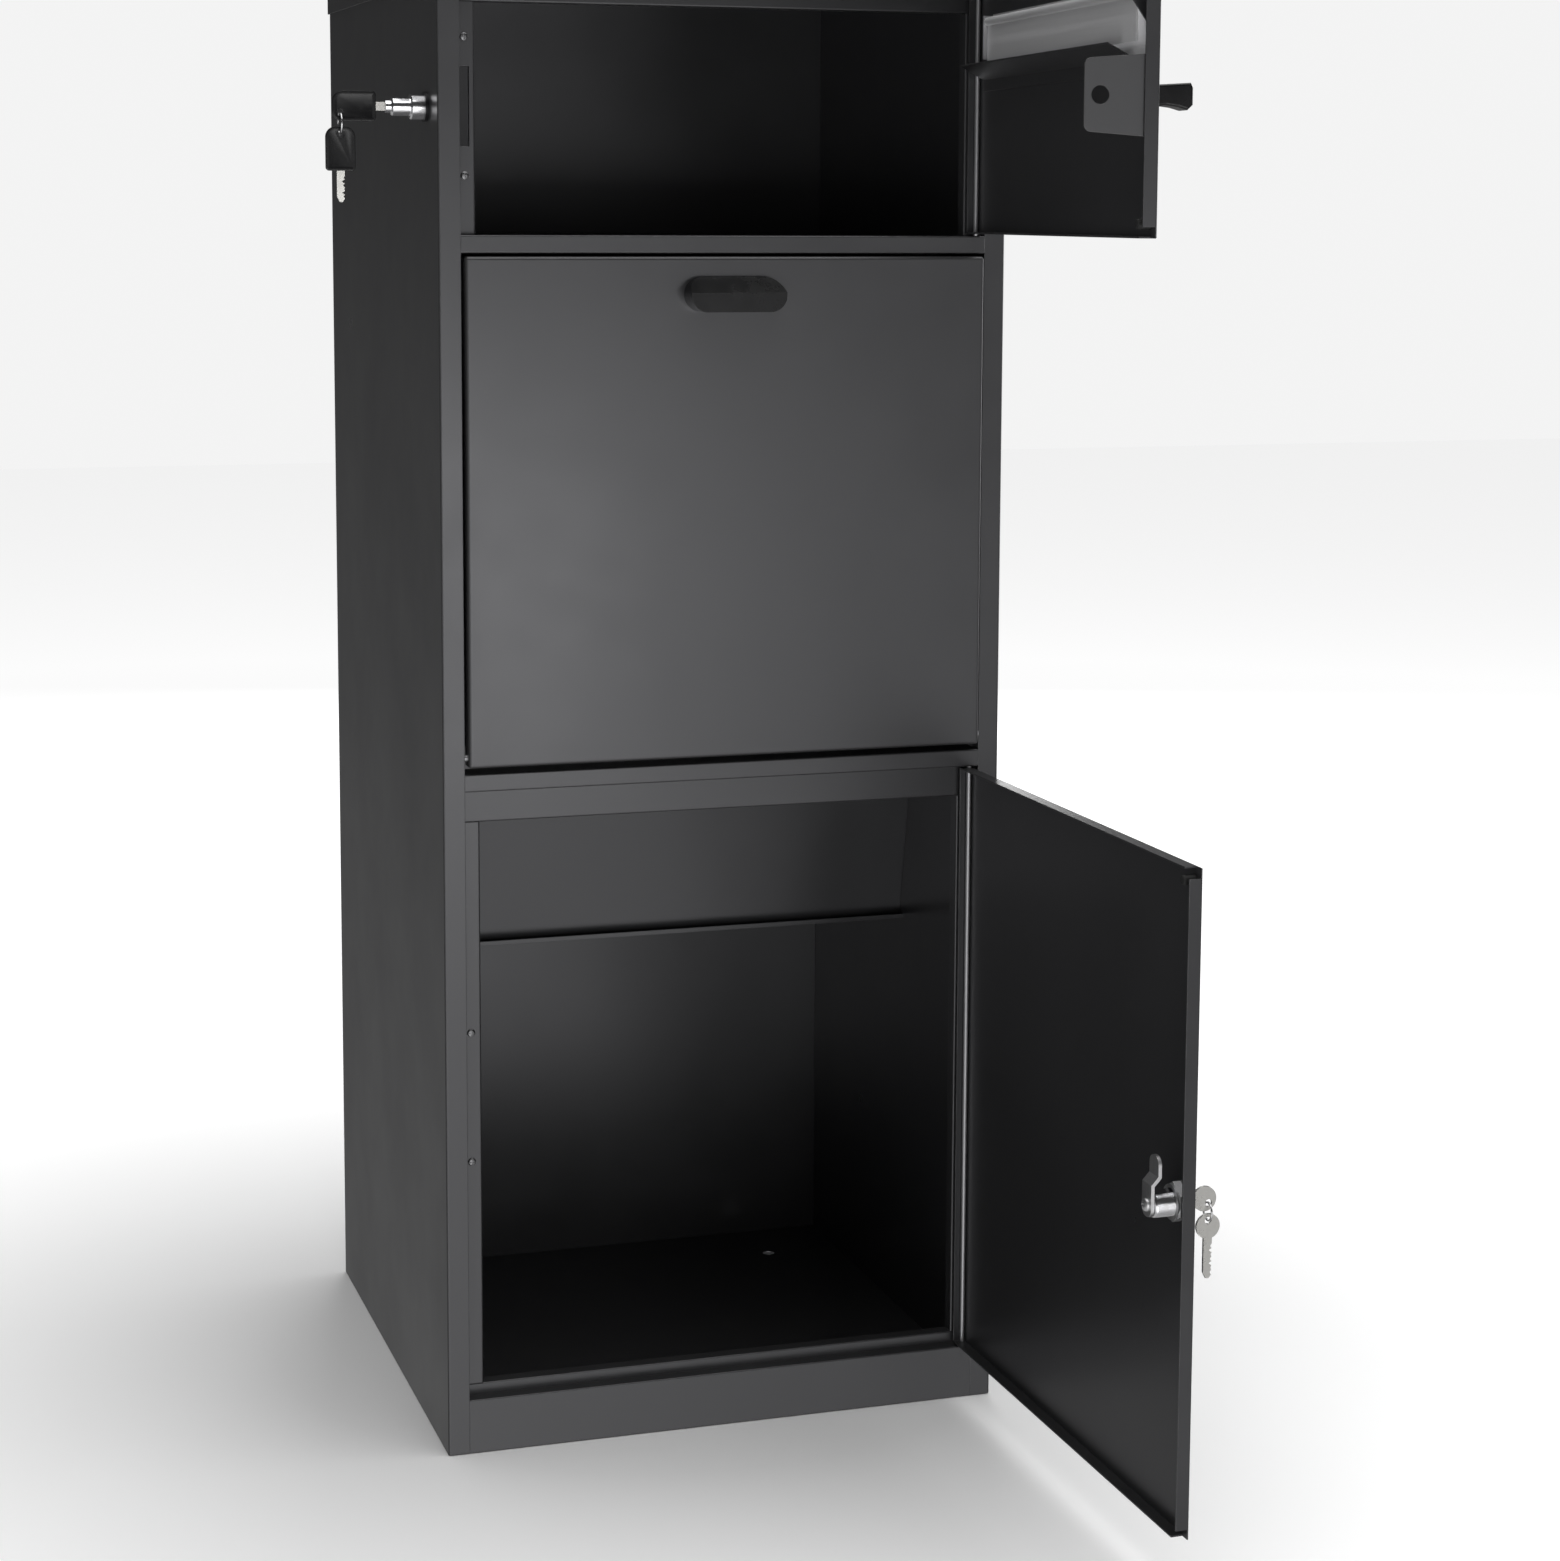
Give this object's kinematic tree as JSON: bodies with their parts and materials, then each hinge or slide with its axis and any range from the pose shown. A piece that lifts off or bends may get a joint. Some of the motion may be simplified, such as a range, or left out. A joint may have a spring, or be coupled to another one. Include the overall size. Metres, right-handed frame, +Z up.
{
  "type": "parcel locker",
  "caption": "Free-standing steel parcel locker: a mail bay with a lockable door above, a tilting parcel flap, and a parcel bay with a lockable door below.",
  "frame": {"origin": "on the ground, at the centre of the four anchor holes in the bottom panel", "axes": "+Z up; the front with its doors faces -Y; +X to the right as seen from the front"},
  "size_m": [0.5161, 0.8166, 1.1],
  "materials": {
    "powder_coat": "satin charcoal powder coat",
    "lock_plate_coat": "satin grey powder coat",
    "screws": "blackened steel",
    "hinge_steel": "bright drawn steel",
    "dark_trim": "dark satin",
    "lock_chrome": "polished chrome plate",
    "zinc": "zinc plate",
    "bright_aluminium": "mill finish",
    "black_plastic": "moulded, fine grain",
    "rubber": "matt",
    "key_steel": "nickel plate",
    "ring_steel": "bright wire"
  },
  "bodies": {
    "cabinet": {"side_panel_left": "powder_coat", "side_panel_right": "powder_coat", "back_panel": "powder_coat", "bottom_panel": "powder_coat", "top_cover": "powder_coat", "mail_shelf": "powder_coat", "upper_rail": "powder_coat", "mid_rail": "powder_coat", "mail_header": "powder_coat", "parcel_header": "powder_coat", "mail_jamb_left": "powder_coat", "mail_jamb_right": "powder_coat", "parcel_jamb_left": "powder_coat", "parcel_jamb_right": "powder_coat", "sill": "powder_coat", "plinth": "powder_coat", "drop_baffle": "powder_coat", "lock_bracket": "powder_coat", "keeper_plate": "powder_coat", "jamb_screws": "screws", "mail_hinge_rod": "hinge_steel", "parcel_hinge_rod": "hinge_steel", "flap_hinge_pins": "hinge_steel", "side_lock_ring": "dark_trim", "side_lock_housing": "lock_chrome", "side_lock_nut": "zinc"},
    "mail_door": {"mail_door_panel": "powder_coat", "mail_door_bumper": "rubber", "lock_plate": "lock_plate_coat", "door_grip": "black_plastic", "slot_frame": "bright_aluminium", "slot_rod": "hinge_steel", "slot_bracket_hinge_side": "hinge_steel", "slot_bracket_free_side": "powder_coat", "slot_screws": "screws", "mail_baffle": "powder_coat"},
    "letter_flap": {"slot_flap": "bright_aluminium"},
    "parcel_flap": {"flap_panel": "powder_coat", "flap_pull": "black_plastic", "flap_cheek_left": "powder_coat", "flap_cheek_right": "powder_coat"},
    "parcel_door": {"parcel_door_panel": "powder_coat", "parcel_door_bumper": "rubber", "cam_lock_body": "lock_chrome", "cam_lock_nut": "zinc", "cam_lock_washer": "zinc"},
    "cam": {"cam_lock_plug": "lock_chrome", "lock_cam": "zinc", "cam_screw": "screws", "door_key": "key_steel"},
    "door_keys": {"door_key_ring": "ring_steel", "door_spare_key": "key_steel"},
    "push_lock": {"side_lock_barrel": "lock_chrome", "side_lock_bolt": "zinc"},
    "side_key": {"side_lock_plug": "lock_chrome", "side_key_blade": "key_steel", "side_key_bow": "black_plastic"},
    "side_keys": {"side_key_ring": "ring_steel", "side_spare_bow": "black_plastic", "side_spare_blade": "key_steel"}
  },
  "joints": [
    {"name": "mail_door_hinge", "type": "hinge", "parent": "cabinet", "child": "mail_door", "pos_m": [0.1921, -0.2116, 0.9835], "axis": [0, 0, 1], "range_deg": [-85, 25]},
    {"name": "letter_flap_hinge", "type": "hinge", "parent": "mail_door", "child": "letter_flap", "pos_m": [0.16722, -0.42023, 1.049], "axis": [0.0872, 0.9962, 0], "range_deg": [0, 70]},
    {"name": "parcel_flap_hinge", "type": "hinge", "parent": "cabinet", "child": "parcel_flap", "pos_m": [0, -0.213, 0.521], "axis": [1, 0, 0], "range_deg": [0, 30]},
    {"name": "parcel_door_hinge", "type": "hinge", "parent": "cabinet", "child": "parcel_door", "pos_m": [0.1921, -0.2116, 0.268], "axis": [0, 0, 1], "range_deg": [-91, 19]},
    {"name": "cam_turn", "type": "hinge", "parent": "parcel_door", "child": "cam", "pos_m": [0.19051, -0.57918, 0.267], "axis": [0.9998, 0.0175, 0], "range_deg": [0, 90]},
    {"name": "door_keys_swing", "type": "hinge", "parent": "cam", "child": "door_keys", "pos_m": [0.22121, -0.57865, 0.264], "axis": [-0.0175, 0.9998, 0], "range_deg": [-45, 15]},
    {"name": "push_lock_slide", "type": "slide", "parent": "cabinet", "child": "push_lock", "axis": [1, 0, 0], "range_m": [0, 0.0136]},
    {"name": "side_key_turn", "type": "hinge", "parent": "push_lock", "child": "side_key", "pos_m": [-0.24, -0.177, 0.985], "axis": [1, 0, 0], "range_deg": [0, 90]},
    {"name": "side_keys_swing", "type": "hinge", "parent": "side_key", "child": "side_keys", "pos_m": [-0.2759, -0.177, 0.9804], "axis": [0, 1, 0], "range_deg": [-25, 25]}
  ]
}
